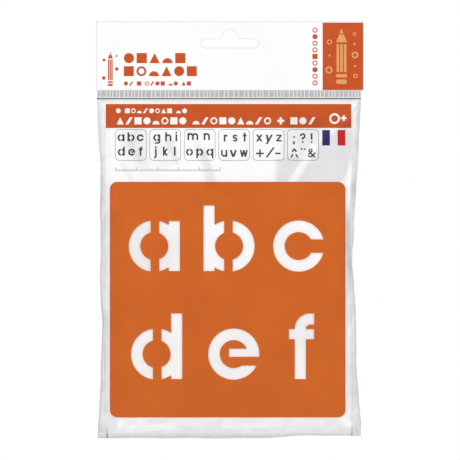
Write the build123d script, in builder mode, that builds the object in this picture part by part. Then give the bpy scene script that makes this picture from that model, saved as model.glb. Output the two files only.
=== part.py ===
from build123d import *
import os

os.makedirs("parts", exist_ok=True)

# A set of lettering stencils in a hanging film bag, in millimetres.
# X runs to the right, Y from the front of the pack to its back, Z up.
# The origin is the centre of the hang slot's round part, midway between the header card's two flaps.

# Sheet stock
card_thickness = 0.35
insert_thickness = 0.35
film_thickness = 0.15
stencil_thickness = 0.5
sheet_gap = 0.1
cut_overrun = 5.0

# Stencil sheets
sheet_size = 145.0
sheet_corner = 4.5
sheet_shift = -1.36
sheet_rest_height = 13.1
shoulder_clearance = 0.6

# Insert card, a little wider than the sheets and taller by its printed head
insert_margin = 3.2
insert_head_height = 54.5
insert_shift = -0.8
insert_depth = -0.25
insert_drop = 3.25
insert_rise = 6.6
side_clearance = 0.3
insert_width = sheet_size + 2 * insert_margin
insert_height = sheet_size + insert_head_height

# Film bag, whose sides fold in as far as the insert card's edges
gusset_depth = 6.0
least_gusset_depth = 1.0
gusset_weld_share = 0.1
gusset_fold_share = 0.08
gusset_least_opening = 0.7
weld_height = 3.5
flange_height = 0.7
shoulder_slope = 0.72
bag_half_width = insert_width / 2 + side_clearance + gusset_depth
bag_height = insert_drop + insert_height + insert_rise
pinch_depth = gusset_depth - insert_shift - least_gusset_depth

# Each line: how far down the bag, then how much of the pinch draws in the left and the right edge.
bag_edge_shares = (
    (0.000, 0.00, 0.22),
    (0.090, 0.12, 0.41),
    (0.207, 0.34, 0.74),
    (0.385, 0.34, 0.99),
    (0.474, 0.34, 1.00),
    (0.540, 0.34, 0.97),
    (0.592, 0.36, 0.84),
    (0.682, 0.55, 0.79),
    (0.770, 0.45, 0.74),
    (0.889, 0.24, 0.47),
    (1.000, 0.10, 0.20),
)
# Each line: how far across the bag, then how far the weld's lower edge rises, from its own height.
weld_hem_shares = ((0.00, 0.05), (0.62, 0.00), (0.80, 0.55), (1.00, 0.40))

# Header card, folded over the top of the bag
header_overhang = 0.3
header_width = 2 * (bag_half_width + header_overhang)
header_height = 42.5
header_top = 10.5
slot_width = 35.2
slot_height = 5.4
slot_drop = 3.0
hang_hole_radius = 5.15

# Ribbed crimp that closes the bag under the header
crimp_inset = 0.65
crimp_width = 2 * (bag_half_width - crimp_inset)
crimp_shift = -0.5
crimp_height = 4.4
tongue_height = 6.0
rib_pitch = 2.6
rib_relief = 0.1
rib_crest_share = 0.3
crease_gap = 0.75

# Letters that are cut through the sheets
x_height = 30.9
ascender = 40.5
descender = 12.0
bowl_radius = 15.8
bowl_stroke = 7.2
stem_width = 6.9
bar_height = 6.3
bridge_width = 5.2
bridge_shift = 0.4
c_mouth = 8.2
e_bar_height = 5.1
e_bar_drop = 1.7
e_mouth = 5.4
e_bar_start = 3.0
hook_radius = 9.6
hook_reach = 12.0
x_foot_share = 0.7
v_foot_share = 0.125
bar_overhang = 3.6
arch_radius = 14.0
dot_radius = 3.8
dot_gap = 4.0
diagonal_width = 8.2
narrow_diagonal_width = 6.8
j_reach = 8.0
k_width = 22.4
r_width = 16.4
s_width = 21.5
t_reach = 7.8
w_step = 7.3
z_width = 23.5

# Signs that are cut through the sheets
plus_width = 35.4
minus_width = 24.2
slash_lean = 32.8
slash_overshoot = 2.6
comma_drop = 5.6
comma_lean = 2.4
mark_height = 44.4
mark_gap = 8.6
question_radius = 12.6
accent_height = 13.8
accent_lean = 6.6
accent_spread = 7.6
roof_height = 15.5
roof_reach = 8.8
two_dot_pitch = 13.2
ampersand_top_radius = 9.3
ampersand_foot_radius = 10.9
ampersand_stroke = 5.6
ampersand_stem_width = 7.6
ampersand_bridge_width = 3.2
# Places across the ampersand and up it, as shares of its lower ring's radius and of its height
ampersand_ring_shares = (-0.44, -0.55)
ampersand_leg_shares = (1.33, -1.01)
ampersand_leg_top_share = 0.69
ampersand_arm_shares = (0.37, 1.37)
ampersand_arm_end_shares = (0.12, 0.54)

# Where the pieces lie, worked out from the sizes above
header_bottom = header_top - header_height
crimp_bottom = header_bottom - crimp_height
crease_height = crimp_bottom - crease_gap
bag_bottom = crease_height - bag_height
weld_top = bag_bottom + weld_height
insert_top = crease_height - insert_drop
insert_left = insert_shift - insert_width / 2
insert_right = insert_shift + insert_width / 2
sheet_bottom = bag_bottom + sheet_rest_height
sheet_center = sheet_bottom + sheet_size / 2
front_sheet_back = insert_depth - insert_thickness / 2 - sheet_gap
front_depth = -(front_sheet_back - stencil_thickness - sheet_gap)
rear_sheet_front = insert_depth + insert_thickness / 2 + sheet_gap
rear_sheet_count = 5
sheet_pitch = stencil_thickness + sheet_gap
back_depth = rear_sheet_front + rear_sheet_count * sheet_pitch
full_depth_end = sheet_bottom - shoulder_clearance


def between(value, low, high, at_low, at_high):
    """The straight-line value between two known ones."""
    return at_low + (at_high - at_low) * (value - low) / (high - low)


def bag_edge(height, side):
    """How far the bag's left (-1) or right (+1) edge lies from the middle plane at a height."""
    column = 1 if side < 0 else 2
    share = (crease_height - height) / bag_height
    for above, below in zip(bag_edge_shares, bag_edge_shares[1:]):
        if share <= below[0]:
            break
    drawn = between(share, above[0], below[0], above[column], below[column])
    return side * (bag_half_width - drawn * pinch_depth)


def pocket_depth(height, full_depth):
    """Inner depth of one half of the bag: a flange, a shoulder, full depth, and a taper to the weld."""
    opening = (crease_height - flange_height - height) * shoulder_slope
    closing = between(height, weld_top, full_depth_end, film_thickness, full_depth)
    return max(0, min(full_depth, opening, closing))


bag_levels = sorted(
    {crease_height - share[0] * bag_height for share in bag_edge_shares[:-1]}
    | {crease_height - flange_height - depth / shoulder_slope for depth in (0, front_depth, back_depth)}
    | {full_depth_end, weld_top},
    reverse=True,
)


def film_panel(front):
    """One face of the bag, a thin sheet that follows the pocket's depth and the drawn-in edges."""
    full_depth, side = (front_depth, -1) if front else (back_depth, 1)
    with BuildPart() as panel:
        for height in bag_levels:
            inner = side * pocket_depth(height, full_depth)
            outer = inner + side * film_thickness
            left, right = bag_edge(height, -1), bag_edge(height, 1)
            with BuildSketch(Plane.XY.offset(height)):
                with BuildLine():
                    Polyline((left, inner), (right, inner), (right, outer), (left, outer), close=True)
                make_face()
        loft(ruled=True)
    return panel.part


def film_gusset(side):
    """A folded-in side of the bag: two leaves that meet at an inward fold beside the insert card."""
    fold = insert_left - side_clearance if side < 0 else insert_right + side_clearance
    with BuildPart() as gusset:
        for height in bag_levels:
            front = -pocket_depth(height, front_depth)
            back = pocket_depth(height, back_depth)
            if back - front < gusset_least_opening:
                continue
            edge = bag_edge(height, side)
            middle = (front + back) / 2
            weld = between(gusset_weld_share, 0, 1, edge, fold)
            outer_fold = between(gusset_fold_share, 0, 1, fold, edge)
            with BuildSketch(Plane.XY.offset(height)):
                with BuildLine():
                    Polyline(
                        (edge, front),
                        (weld, front),
                        (fold, middle),
                        (weld, back),
                        (edge, back),
                        (edge, back - film_thickness),
                        (outer_fold, middle),
                        (edge, front + film_thickness),
                        close=True,
                    )
                make_face()
        loft(ruled=True)
    return gusset.part


# Header card: a saddle of card, one flap in front of the bag's tongue and one behind it
flap_inner = film_thickness
flap_outer = flap_inner + card_thickness
fold_center = header_top - flap_outer
with BuildPart() as header_card:
    with BuildSketch(Plane.YZ.offset(-header_width / 2)):
        with Locations((0, (header_bottom + fold_center) / 2)):
            Rectangle(2 * flap_outer, fold_center - header_bottom)
        with Locations((0, fold_center)):
            Circle(flap_outer)
            Circle(flap_inner, mode=Mode.SUBTRACT)
        with Locations((0, (header_bottom + fold_center) / 2)):
            Rectangle(2 * flap_inner, fold_center - header_bottom, mode=Mode.SUBTRACT)
    extrude(amount=header_width)
    with BuildSketch(Plane.XZ):
        Circle(hang_hole_radius)
        with Locations((0, -slot_drop)):
            SlotOverall(slot_width, slot_height)
    extrude(amount=flap_outer + cut_overrun, both=True, mode=Mode.SUBTRACT)
header_card.part.label = "header_card"
export_step(header_card.part, "parts/header_card.step")

# Top crimp: both films pressed into upright ribs, with a flat tongue that the header card grips
rib_count = round(crimp_width / rib_pitch)
rib_step = crimp_width / rib_count
crimp_left = crimp_shift - crimp_width / 2
ridge_line = []
for rib in range(rib_count):
    start = crimp_left + rib * rib_step
    ridge_line.append((start, -rib_relief))
    ridge_line.append((start + rib_crest_share * rib_step, rib_relief))
ridge_line.append((crimp_left + crimp_width, -rib_relief))
front_line = [(x, y - film_thickness) for x, y in ridge_line]
back_line = [(x, y + film_thickness) for x, y in reversed(ridge_line)]
with BuildPart() as top_crimp:
    with BuildSketch(Plane.XY.offset(crimp_bottom)):
        with BuildLine():
            Polyline(*front_line, *back_line, close=True)
        make_face()
    extrude(amount=crimp_height)
    with BuildSketch(Plane.XY.offset(header_bottom)):
        with Locations((crimp_shift, 0)):
            Rectangle(crimp_width, 2 * film_thickness)
    extrude(amount=tongue_height)
top_crimp.part.label = "top_crimp"
export_step(top_crimp.part, "parts/top_crimp.step")

# Film bag
bag_front_panel = film_panel(front=True)
bag_front_panel.label = "bag_front_panel"
export_step(bag_front_panel, "parts/bag_front_panel.step")

bag_back_panel = film_panel(front=False)
bag_back_panel.label = "bag_back_panel"
export_step(bag_back_panel, "parts/bag_back_panel.step")

left_gusset = film_gusset(-1)
left_gusset.label = "left_gusset"
export_step(left_gusset, "parts/left_gusset.step")

right_gusset = film_gusset(1)
right_gusset.label = "right_gusset"
export_step(right_gusset, "parts/right_gusset.step")

# Bottom weld: four layers of film melted into one flat strip with an uneven lower edge
weld_left = bag_edge(weld_top, -1)
weld_right = bag_edge(weld_top, 1)
weld_hem = [
    (between(across, 0, 1, weld_left, weld_right), bag_bottom + rise * weld_height)
    for across, rise in weld_hem_shares
]
with BuildPart() as bottom_weld:
    with BuildSketch(Plane.XZ):
        with BuildLine():
            Polyline(*weld_hem, (weld_right, weld_top), (weld_left, weld_top), close=True)
        make_face()
    extrude(amount=2 * film_thickness, both=True)
bottom_weld.part.label = "bottom_weld"
export_step(bottom_weld.part, "parts/bottom_weld.step")

# Insert card
with BuildPart() as insert_card:
    with BuildSketch(Plane.XZ.offset(-insert_depth)):
        with Locations((insert_shift, insert_top - insert_height / 2)):
            Rectangle(insert_width, insert_height)
    extrude(amount=insert_thickness / 2, both=True)
insert_card.part.label = "insert_card"
export_step(insert_card.part, "parts/insert_card.step")


# Letters: each stands on its baseline, about its own middle
def bar(left, bottom, right, top, mode=Mode.ADD):
    """An upright rectangle between two corners."""
    with Locations(((left + right) / 2, (bottom + top) / 2)):
        Rectangle(right - left, top - bottom, mode=mode)


def slant(foot, bottom, head, top, width, mode=Mode.ADD):
    """A leaning stroke with level ends."""
    half = width / 2
    corners = ((foot - half, bottom), (foot + half, bottom), (head + half, top), (head - half, top))
    Polygon(*corners, align=None, mode=mode)


def ring(middle, radius, stroke):
    """A round stroke."""
    with Locations(middle):
        Circle(radius)
        Circle(radius - stroke, mode=Mode.SUBTRACT)


def quarter(middle, radius, right, up):
    """A quarter turn of a stem about a point, in the quadrant that right and up (-1 or 1) name."""
    with BuildSketch() as turn:
        Circle(radius)
        Circle(radius - stem_width, mode=Mode.SUBTRACT)
        across, along = right * radius, up * radius
        bar(min(0, across), min(0, along), max(0, across), max(0, along), Mode.INTERSECT)
    with Locations(middle):
        add(turn.sketch)


def bridge(middle, bottom, top):
    """The strip of sheet that is left standing through a letter, so that its inside doesn't fall out."""
    half = bridge_width / 2
    bar(middle - half, bottom - cut_overrun, middle + half, top + cut_overrun, Mode.SUBTRACT)


def dot(middle, bottom):
    """A round dot on a level line."""
    with Locations((middle, bottom + dot_radius)):
        Circle(dot_radius)


def stem_bowl(side, bottom, top):
    """A bowl with a stem on its left (-1) or right (1), bridged from top to bottom."""
    with BuildSketch() as glyph:
        ring((0, x_height / 2), bowl_radius, bowl_stroke)
        stem = side * (bowl_radius - stem_width / 2)
        bar(stem - stem_width / 2, bottom, stem + stem_width / 2, top)
        bridge(side * bridge_shift, 0, x_height)
    return glyph.sketch


def letter_c():
    with BuildSketch() as glyph:
        ring((0, x_height / 2), bowl_radius, bowl_stroke)
        bar(0, (x_height - c_mouth) / 2, bowl_radius + cut_overrun, (x_height + c_mouth) / 2, Mode.SUBTRACT)
    return glyph.sketch


def letter_e():
    bar_bottom = x_height / 2 - e_bar_drop
    with BuildSketch() as glyph:
        ring((0, x_height / 2), bowl_radius, bowl_stroke)
        bar(-e_bar_start, bar_bottom, bowl_radius, bar_bottom + e_bar_height)
        with Locations((0, x_height / 2)):
            Circle(bowl_radius, mode=Mode.INTERSECT)
        bar(0, bar_bottom - e_mouth, bowl_radius + cut_overrun, bar_bottom, Mode.SUBTRACT)
    return glyph.sketch


def letter_f():
    left = (bar_overhang - hook_reach) / 2
    with BuildSketch() as glyph:
        bar(left, 0, left + stem_width, ascender - hook_radius)
        quarter((left + hook_radius, ascender - hook_radius), hook_radius, -1, 1)
        bar(left + hook_radius, ascender - stem_width, left + hook_reach, ascender)
        bar(left - bar_overhang, x_height - bar_height, left + hook_reach, x_height)
    return glyph.sketch


def tail(right):
    """A descending stem that turns to the left below the baseline."""
    bar(right - stem_width, hook_radius - descender, right, x_height / 2)
    quarter((right - hook_radius, hook_radius - descender), hook_radius, 1, -1)


def letter_g():
    with BuildSketch() as glyph:
        ring((0, x_height / 2), bowl_radius, bowl_stroke)
        bar(bowl_radius - stem_width, 0, bowl_radius, x_height)
        bridge(bridge_shift, 0, x_height)
        tail(bowl_radius)
        bar(-bowl_radius / 2, -descender, bowl_radius - hook_radius, bar_height - descender)
    return glyph.sketch


def arch(left):
    """The round top of an n and its right leg."""
    middle = left + arch_radius
    quarter((middle, x_height - arch_radius), arch_radius, -1, 1)
    quarter((middle, x_height - arch_radius), arch_radius, 1, 1)
    bar(middle + arch_radius - stem_width, 0, middle + arch_radius, x_height - arch_radius)


def arch_letter(stem_top):
    with BuildSketch() as glyph:
        bar(-arch_radius, 0, stem_width - arch_radius, stem_top)
        arch(-arch_radius)
    return glyph.sketch


def letter_m():
    pitch = 2 * arch_radius - stem_width
    left = -pitch - stem_width / 2
    with BuildSketch() as glyph:
        bar(left, 0, left + stem_width, x_height)
        arch(left)
        arch(left + pitch)
    return glyph.sketch


def letter_u():
    with BuildSketch() as glyph:
        with Locations(Location((0, x_height, 0), (0, 0, 180))):
            add(arch_letter(x_height))
    return glyph.sketch


def letter_i():
    with BuildSketch() as glyph:
        bar(-stem_width / 2, 0, stem_width / 2, x_height)
        dot(0, x_height + dot_gap)
    return glyph.sketch


def letter_j():
    with BuildSketch() as glyph:
        tail(stem_width / 2)
        bar(-stem_width / 2, 0, stem_width / 2, x_height)
        bar(-j_reach, -descender, stem_width / 2 - hook_radius, bar_height - descender)
        dot(0, x_height + dot_gap)
    return glyph.sketch


def letter_k():
    right = k_width / 2
    stem_right = stem_width - right
    toe = right - diagonal_width / 2
    with BuildSketch() as glyph:
        bar(-right, 0, stem_right, ascender)
        slant(stem_right, x_height / 2, toe, x_height, diagonal_width)
        slant(toe, 0, stem_right, x_height / 2, diagonal_width)
    return glyph.sketch


def letter_l():
    with BuildSketch() as glyph:
        bar(-stem_width / 2, 0, stem_width / 2, ascender)
    return glyph.sketch


def letter_o():
    with BuildSketch() as glyph:
        ring((0, x_height / 2), bowl_radius, bowl_stroke)
        bridge(0, 0, x_height)
    return glyph.sketch


def letter_r():
    right = r_width / 2
    with BuildSketch() as glyph:
        bar(-right, 0, stem_width - right, x_height)
        quarter((arch_radius - right, x_height - arch_radius), arch_radius, -1, 1)
        bar(arch_radius - right, x_height - stem_width, right, x_height)
    return glyph.sketch


def s_loop():
    """The upper loop of the s, open to the lower right."""
    loop_height = (x_height + stem_width) / 2
    mouth = loop_height / 2 - stem_width
    with BuildSketch() as loop:
        SlotOverall(s_width, loop_height)
        SlotOverall(s_width - 2 * stem_width, 2 * mouth, mode=Mode.SUBTRACT)
        bar(0, -loop_height / 2, s_width, mouth, Mode.SUBTRACT)
    return loop.sketch


def letter_s():
    loop_height = (x_height + stem_width) / 2
    with BuildSketch() as glyph:
        with Locations((0, x_height - loop_height / 2)):
            add(s_loop())
        with Locations(Location((0, loop_height / 2, 0), (0, 0, 180))):
            add(s_loop())
    return glyph.sketch


def letter_t():
    with BuildSketch() as glyph:
        bar(-stem_width / 2, 0, stem_width / 2, ascender)
        bar(-t_reach, x_height - bar_height, t_reach, x_height)
    return glyph.sketch


def letter_v():
    reach = bowl_radius - diagonal_width / 2
    with BuildSketch() as glyph:
        slant(-v_foot_share * diagonal_width, 0, -reach, x_height, diagonal_width)
        slant(v_foot_share * diagonal_width, 0, reach, x_height, diagonal_width)
    return glyph.sketch


def letter_w():
    with BuildSketch() as glyph:
        for foot in (-w_step, w_step):
            slant(foot, 0, foot - w_step, x_height, narrow_diagonal_width)
            slant(foot, 0, foot + w_step, x_height, narrow_diagonal_width)
    return glyph.sketch


def letter_x():
    reach = bowl_radius - x_foot_share * diagonal_width
    with BuildSketch() as glyph:
        slant(-reach, 0, reach, x_height, diagonal_width)
        slant(reach, 0, -reach, x_height, diagonal_width)
    return glyph.sketch


def letter_y():
    reach = bowl_radius - diagonal_width / 2
    lean = 2 * reach / (x_height + descender)
    join = reach - lean * x_height
    with BuildSketch() as glyph:
        slant(-reach, -descender, reach, x_height, diagonal_width)
        slant(join, 0, -reach, x_height, diagonal_width)
    return glyph.sketch


def letter_z():
    half = z_width / 2
    with BuildSketch() as glyph:
        bar(-half, 0, half, bar_height)
        bar(-half, x_height - bar_height, half, x_height)
        foot = diagonal_width / 2 - half
        slant(foot, bar_height, -foot, x_height - bar_height, diagonal_width)
    return glyph.sketch


def sign_plus():
    half = plus_width / 2
    middle = x_height / 2
    with BuildSketch() as glyph:
        bar(-half, middle - bar_height / 2, half, middle + bar_height / 2)
        bar(-bar_height / 2, middle - half, bar_height / 2, middle + half)
    return glyph.sketch


def sign_minus():
    middle = x_height / 2
    with BuildSketch() as glyph:
        bar(-minus_width / 2, middle - bar_height / 2, minus_width / 2, middle + bar_height / 2)
    return glyph.sketch


def sign_slash():
    with BuildSketch() as glyph:
        slant(-slash_lean / 2, -slash_overshoot, slash_lean / 2, ascender + slash_overshoot, diagonal_width)
    return glyph.sketch


def sign_semicolon():
    with BuildSketch() as glyph:
        dot(0, x_height - 2 * dot_radius)
        dot(0, 0)
        slant(-comma_lean, -comma_drop, dot_radius - stem_width / 2, dot_radius, stem_width)
    return glyph.sketch


def sign_question():
    middle = mark_height - question_radius
    with BuildSketch() as glyph:
        quarter((0, middle), question_radius, -1, 1)
        quarter((0, middle), question_radius, 1, 1)
        quarter((0, middle), question_radius, 1, -1)
        bar(-stem_width / 2, 2 * dot_radius + mark_gap, stem_width / 2, middle - question_radius + stem_width)
        dot(0, 0)
    return glyph.sketch


def sign_exclamation():
    with BuildSketch() as glyph:
        bar(-stem_width / 2, 2 * dot_radius + mark_gap, stem_width / 2, mark_height)
        dot(0, 0)
    return glyph.sketch


def sign_accents():
    """A roof over two strokes that lean towards each other."""
    with BuildSketch() as glyph:
        for side in (-1, 1):
            slant(side * roof_reach, ascender - roof_height, 0, ascender, stem_width)
            slant(side * (accent_spread + accent_lean), 0, side * accent_spread, accent_height, stem_width)
    return glyph.sketch


def sign_two_dots():
    with BuildSketch() as glyph:
        for side in (-1, 1):
            dot(side * two_dot_pitch / 2, ascender - dot_radius - dot_gap / 2)
    return glyph.sketch


def sign_ampersand():
    """Two rings, a leg and an arm. A strip of sheet reaches into each ring, from above and from the left."""
    head_across, foot_across = (share * ampersand_foot_radius for share in ampersand_ring_shares)
    leg_foot, leg_head = (share * ampersand_foot_radius for share in ampersand_leg_shares)
    arm_foot, arm_head = (share * ampersand_foot_radius for share in ampersand_arm_shares)
    arm_bottom, arm_top = (share * ascender for share in ampersand_arm_end_shares)
    head_height = ascender - ampersand_top_radius
    half = ampersand_bridge_width / 2
    far_left = foot_across - ampersand_foot_radius - cut_overrun
    with BuildSketch() as glyph:
        ring((head_across, head_height), ampersand_top_radius, ampersand_stroke)
        ring((foot_across, ampersand_foot_radius), ampersand_foot_radius, ampersand_stroke)
        slant(leg_foot, 0, leg_head, ampersand_leg_top_share * ascender, ampersand_stem_width)
        slant(arm_foot, arm_bottom, arm_head, arm_top, stem_width)
        bar(head_across - half, head_height, head_across + half, ascender + cut_overrun, Mode.SUBTRACT)
        bar(far_left, ampersand_foot_radius - half, foot_across, ampersand_foot_radius + half, Mode.SUBTRACT)
    return glyph.sketch


def stem_a():
    return stem_bowl(1, 0, x_height)


def stem_b():
    return stem_bowl(-1, 0, ascender)


def stem_d():
    return stem_bowl(1, 0, ascender)


def stem_p():
    return stem_bowl(-1, -descender, x_height)


def stem_q():
    return stem_bowl(1, -descender, x_height)


def letter_h():
    return arch_letter(ascender)


def letter_n():
    return arch_letter(x_height)


# Each sheet's upper and lower row: its baseline's height above the sheet's middle, then each letter
# and the place of its middle across the sheet, all as shares of the sheet's size
sheet_letter_shares = {
    "stencil_a_to_f": (
        (0.121, (stem_a, -0.312), (stem_b, 0.006), (letter_c, 0.302)),
        (-0.338, (stem_d, -0.302), (letter_e, 0.026), (letter_f, 0.314)),
    ),
    "stencil_g_to_l": (
        (0.123, (letter_g, -0.271), (letter_h, 0.097), (letter_i, 0.353)),
        (-0.338, (letter_j, -0.300), (letter_k, 0.006), (letter_l, 0.302)),
    ),
    "stencil_m_to_q": (
        (0.160, (letter_m, -0.218), (letter_n, 0.225)),
        (-0.338, (letter_o, -0.325), (stem_p, 0.000), (stem_q, 0.325)),
    ),
    "stencil_r_to_w": (
        (0.109, (letter_r, -0.272), (letter_s, 0.028), (letter_t, 0.336)),
        (-0.378, (letter_u, -0.318), (letter_v, -0.028), (letter_w, 0.308)),
    ),
    "stencil_x_y_z_plus": (
        (0.111, (letter_x, -0.298), (letter_y, 0.022), (letter_z, 0.330)),
        (-0.378, (sign_plus, -0.276), (sign_slash, 0.050), (sign_minus, 0.295)),
    ),
    "stencil_signs": (
        (0.063, (sign_semicolon, -0.285), (sign_question, -0.011), (sign_exclamation, 0.272)),
        (-0.396, (sign_accents, -0.277), (sign_two_dots, 0.000), (sign_ampersand, 0.272)),
    ),
}


def stencil_sheet(rows, back):
    """A rounded sheet whose back face lies at a depth, with two rows of letters cut through it."""
    with BuildPart() as sheet:
        with BuildSketch(Plane.XZ.offset(-back)):
            with Locations((sheet_shift, sheet_center)):
                RectangleRounded(sheet_size, sheet_size, sheet_corner)
            for baseline, *letters in rows:
                for letter, across in letters:
                    place = (sheet_shift + across * sheet_size, sheet_center + baseline * sheet_size)
                    with Locations(place):
                        add(letter(), mode=Mode.SUBTRACT)
        extrude(amount=stencil_thickness)
    return sheet.part


# The first sheet lies in front of the insert card, the others behind it
for place, (name, rows) in enumerate(sheet_letter_shares.items()):
    sheet_back = front_sheet_back if place == 0 else rear_sheet_front + place * sheet_pitch - sheet_gap
    stencil = stencil_sheet(rows, sheet_back)
    stencil.label = name
    export_step(stencil, f"parts/{name}.step")
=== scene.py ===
import math
import random
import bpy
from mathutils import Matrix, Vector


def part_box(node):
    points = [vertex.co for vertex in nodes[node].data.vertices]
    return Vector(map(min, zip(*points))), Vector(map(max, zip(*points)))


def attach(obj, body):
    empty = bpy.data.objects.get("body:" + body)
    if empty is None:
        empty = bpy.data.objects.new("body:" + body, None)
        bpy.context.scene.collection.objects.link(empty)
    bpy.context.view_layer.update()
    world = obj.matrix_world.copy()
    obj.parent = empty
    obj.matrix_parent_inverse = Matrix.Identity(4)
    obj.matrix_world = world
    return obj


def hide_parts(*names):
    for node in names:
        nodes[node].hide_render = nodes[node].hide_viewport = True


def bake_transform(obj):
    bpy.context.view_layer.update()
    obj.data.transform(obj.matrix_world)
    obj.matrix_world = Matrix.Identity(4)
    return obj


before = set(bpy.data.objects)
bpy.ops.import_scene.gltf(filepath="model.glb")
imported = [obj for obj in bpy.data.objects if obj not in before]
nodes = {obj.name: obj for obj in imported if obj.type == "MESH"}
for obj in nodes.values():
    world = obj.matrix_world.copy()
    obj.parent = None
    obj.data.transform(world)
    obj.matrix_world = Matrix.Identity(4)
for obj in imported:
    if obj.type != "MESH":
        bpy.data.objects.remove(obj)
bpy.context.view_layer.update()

from types import SimpleNamespace

import bpy
import numpy as np
from mathutils import Matrix, Vector, noise

# Units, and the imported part's own boxes, which every piece here is placed by
mm = 0.001
header_low, header_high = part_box("header_card")
crimp_low, crimp_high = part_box("top_crimp")
panel_low, panel_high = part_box("bag_front_panel")
insert_low, insert_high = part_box("insert_card")
sheet_low, sheet_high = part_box("stencil_a_to_f")
_, last_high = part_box("stencil_signs")
weld_low, weld_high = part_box("bottom_weld")
crease = panel_high.z

# The sheets' way up in the closed bag, and the radius of their corners
sheet_travel = 44 * mm
sheet_corner = 4.5 * mm

# The sheets from front to back, which is also the order of their small pictures on the insert card
stencil_names = (
    "stencil_a_to_f",
    "stencil_g_to_l",
    "stencil_m_to_q",
    "stencil_r_to_w",
    "stencil_x_y_z_plus",
    "stencil_signs",
)

# The photograph's scale: where the hang slot's round part lies in it, and the size of a pixel
pixel_size = 0.6163 * mm
slot_pixel_x = 229.85
slot_pixel_y = 38.5
picture_side = 460

# How far printed ink stands out from its card
ink_height = 0.02 * mm

# Film: its depth from the middle plane where it is loose and at the bag's edges, and its play off the sheets
front_rest = 0.66 * mm
front_edge = 0.5 * mm
back_rest_share = 0.55
back_edge = 0.9 * mm
film_clearance = 0.08 * mm


def at_pixel(x, y):
    """The place on the pack of a pixel of the photograph, in metres."""
    return (x - slot_pixel_x) * pixel_size, (slot_pixel_y - y) * pixel_size


def linear(red, green, blue):
    """A screen colour from 0 to 255 as the shader's linear colour."""
    shares = (value / 255 for value in (red, green, blue))
    return (*(s / 12.92 if s <= 0.04045 else ((s + 0.055) / 1.055) ** 2.4 for s in shares), 1)


def smooth(value):
    """A soft step from 0 to 1."""
    value = np.clip(value, 0, 1)
    return value * value * (3 - 2 * value)


def bell(distance, width):
    """A soft peak: 1 where the distance is nothing, and next to nothing past twice the width."""
    return np.exp(-((distance / width) ** 2))


# Shader nodes
def put(tree, kind, sockets=None, **settings):
    """Adds a node. Sockets are linked where their value is another node's output, and set otherwise."""
    node = tree.nodes.new(kind)
    for name, value in settings.items():
        setattr(node, name, value)
    for name, value in (sockets or {}).items():
        if isinstance(value, bpy.types.NodeSocket):
            tree.links.new(value, node.inputs[name])
        else:
            node.inputs[name].default_value = value
    return node.outputs


def maths(tree, operation, *values):
    """A sum, product or other operation on values."""
    return put(tree, "ShaderNodeMath", dict(enumerate(values)), operation=operation)[0]


def fade(tree, value, low, high, at_low=0.0, at_high=1.0):
    """A soft step of a value between two limits."""
    sockets = {"Value": value, "From Min": low, "From Max": high, "To Min": at_low, "To Max": at_high}
    return put(tree, "ShaderNodeMapRange", sockets, interpolation_type="SMOOTHSTEP")[0]


def mixed(tree, share, first, second):
    """Two colours mixed by a share."""
    return put(tree, "ShaderNodeMix", {0: share, 6: first, 7: second}, data_type="RGBA")[2]


def own_place(tree):
    """The place of a point in the part's own coordinates."""
    return put(tree, "ShaderNodeTexCoord")["Object"]


def speckle(tree, scale, detail, stretch=(1, 1, 1)):
    """Noise in the part's own coordinates, stretched along its axes."""
    place = put(tree, "ShaderNodeMapping", {"Vector": own_place(tree), "Scale": stretch})[0]
    return put(tree, "ShaderNodeTexNoise", {"Vector": place, "Scale": scale, "Detail": detail})["Fac"]


def varied(tree, scale, detail, low=0.0, high=1.0):
    """A value that noise moves softly between two limits."""
    return fade(tree, speckle(tree, scale, detail), 0.3, 0.7, low, high)


def bump(tree, height, distance, strength):
    """A surface normal that follows a pattern of heights."""
    return put(tree, "ShaderNodeBump", {"Height": height, "Distance": distance, "Strength": strength})[0]


def new_material(name):
    """An empty material and its node tree."""
    material = bpy.data.materials.new(name)
    material.use_nodes = True
    material.node_tree.nodes.clear()
    return material, material.node_tree


def close(tree, surface):
    """Sends a shader to the material's output."""
    put(tree, "ShaderNodeOutputMaterial", {"Surface": surface})


def close_solid(tree, colour, roughness, normal, specular):
    """Ends a material as an opaque board, plastic or ink."""
    sockets = {
        "Base Color": colour,
        "Roughness": roughness,
        "Normal": normal,
        "Specular IOR Level": specular,
    }
    close(tree, put(tree, "ShaderNodeBsdfPrincipled", sockets)[0])


def step_length(tree, across, up):
    """The length of a step that goes across and up."""
    squares = [maths(tree, "MULTIPLY", value, value) for value in (across, up)]
    return maths(tree, "SQRT", maths(tree, "ADD", *squares))


def depth_inside(tree, low, high, corner):
    """How far a point lies inside a rectangle with round corners, seen from the front."""
    axes = put(tree, "ShaderNodeSeparateXYZ", {0: own_place(tree)})
    reach = []
    for axis in (0, 2):
        middle = (low[axis] + high[axis]) / 2
        half = (high[axis] - low[axis]) / 2 - corner
        away = maths(tree, "ABSOLUTE", maths(tree, "SUBTRACT", axes[axis], middle))
        reach.append(maths(tree, "SUBTRACT", away, half))
    outside = step_length(tree, *(maths(tree, "MAXIMUM", value, 0.0) for value in reach))
    inner = maths(tree, "MINIMUM", maths(tree, "MAXIMUM", *reach), 0.0)
    return maths(tree, "SUBTRACT", corner, maths(tree, "ADD", outside, inner))


def depth_from_slot(tree):
    """How far a point of the header card lies from the hang slot's outline."""
    hole_radius = 5.15 * mm
    slot_half_height = 2.7 * mm
    slot_half_straight = 14.9 * mm
    slot_drop = 3.0 * mm
    axes = put(tree, "ShaderNodeSeparateXYZ", {0: own_place(tree)})
    from_hole = maths(tree, "SUBTRACT", step_length(tree, axes[0], axes[2]), hole_radius)
    past_straight = maths(tree, "SUBTRACT", maths(tree, "ABSOLUTE", axes[0]), slot_half_straight)
    along = maths(tree, "MAXIMUM", past_straight, 0.0)
    down = maths(tree, "ADD", axes[2], slot_drop)
    from_slot = maths(tree, "SUBTRACT", step_length(tree, along, down), slot_half_height)
    return maths(tree, "MINIMUM", from_hole, from_slot)


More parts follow.
